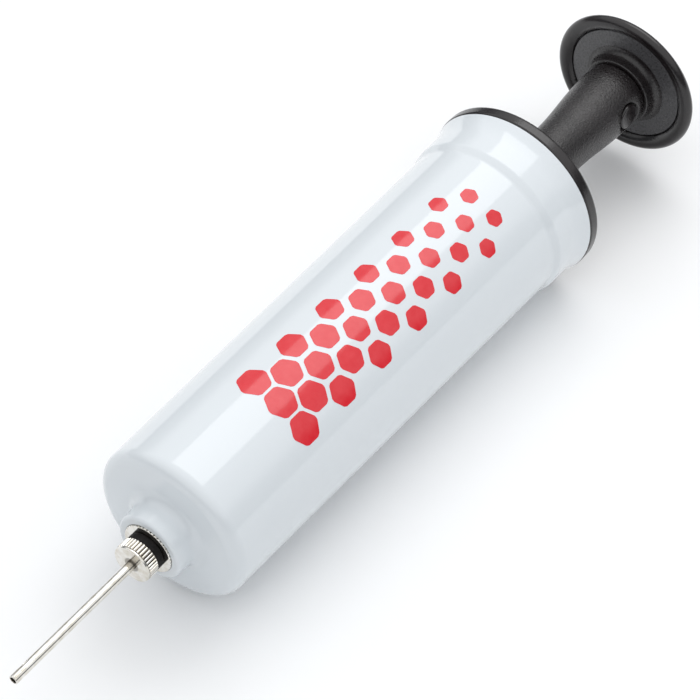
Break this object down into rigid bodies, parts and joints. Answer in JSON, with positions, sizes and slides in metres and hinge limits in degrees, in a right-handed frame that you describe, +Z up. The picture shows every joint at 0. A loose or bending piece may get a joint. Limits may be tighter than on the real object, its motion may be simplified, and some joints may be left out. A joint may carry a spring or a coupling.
{
  "type": "ball inflation pump",
  "caption": "Hand pump for sports balls: round moulded barrel, flared rear with a black end cap, pull handle with a disc knob, and a knurled screw-in inflation needle.",
  "frame": {"origin": "on the floor under the middle of the pump as it lies on its side, at rest with the plunger pushed home", "axes": "+X along the pump's axis from the needle to the knob, +Z up, and the latch button in the neck looks towards -Y"},
  "size_m": [0.2034, 0.0402, 0.0402],
  "materials": {
    "barrel_plastic": "smooth glossy moulded plastic, cool white",
    "black_plastic": "fine-grained satin black moulding",
    "natural_plastic": "unpigmented acetal, satin",
    "black_rubber": "smooth moulded rubber",
    "grey_rubber": "smooth moulded rubber",
    "nickel_plate": "bright nickel plate over brass, turned",
    "steel": "plain drawn steel"
  },
  "bodies": {
    "barrel": {"barrel_shell": "barrel_plastic", "nozzle_insert": "nickel_plate", "valve_seat": "grey_rubber", "valve_spring": "steel", "end_cap": "black_plastic", "guide_bush": "natural_plastic"},
    "check_ball": {"valve_ball": "steel"},
    "needle_seal": {"needle_washer": "black_rubber"},
    "needle": {"needle_head": "nickel_plate", "needle_tube": "nickel_plate"},
    "piston": {"piston_core": "natural_plastic", "guide_ring": "natural_plastic", "piston_cup": "black_rubber", "cup_plate": "steel"},
    "handle": {"plunger_rod": "black_plastic", "piston_screw": "steel", "stop_bumper": "grey_rubber", "handle_neck": "black_plastic", "knob_base": "black_plastic", "knob_crown": "black_plastic"},
    "latch": {"latch_button": "black_plastic"}
  },
  "joints": [
    {"name": "plunger_stroke", "type": "slide", "parent": "barrel", "child": "piston", "axis": [1, 0, 0], "range_m": [0, 0.0804]},
    {"name": "handle_turn", "type": "hinge", "parent": "piston", "child": "handle", "pos_m": [-0.042, 0, 0.0201], "axis": [1, 0, 0], "continuous": true},
    {"name": "latch_press", "type": "slide", "parent": "handle", "child": "latch", "axis": [0, 0.9962, -0.0872], "range_m": [0, 0.0015], "stiffness_N_per_m": 300, "springref_m": -0.001},
    {"name": "ball_lift", "type": "slide", "parent": "barrel", "child": "check_ball", "axis": [-1, 0, 0], "range_m": [0, 0.0008], "stiffness_N_per_m": 40, "springref_m": -0.0005, "deforming": ["valve_spring"]},
    {"name": "needle_back_off", "type": "slide", "parent": "barrel", "child": "needle_seal", "axis": [-1, 0, 0], "range_m": [0, 0.006]},
    {"name": "needle_turn", "type": "hinge", "parent": "needle_seal", "child": "needle", "pos_m": [-0.065, 0, 0.0201], "axis": [-1, 0, 0], "range_deg": [0, 2881]}
  ],
  "couplings": [
    {"joint": "needle_turn", "follows": "needle_back_off", "rad_per_m": 8377.6}
  ]
}
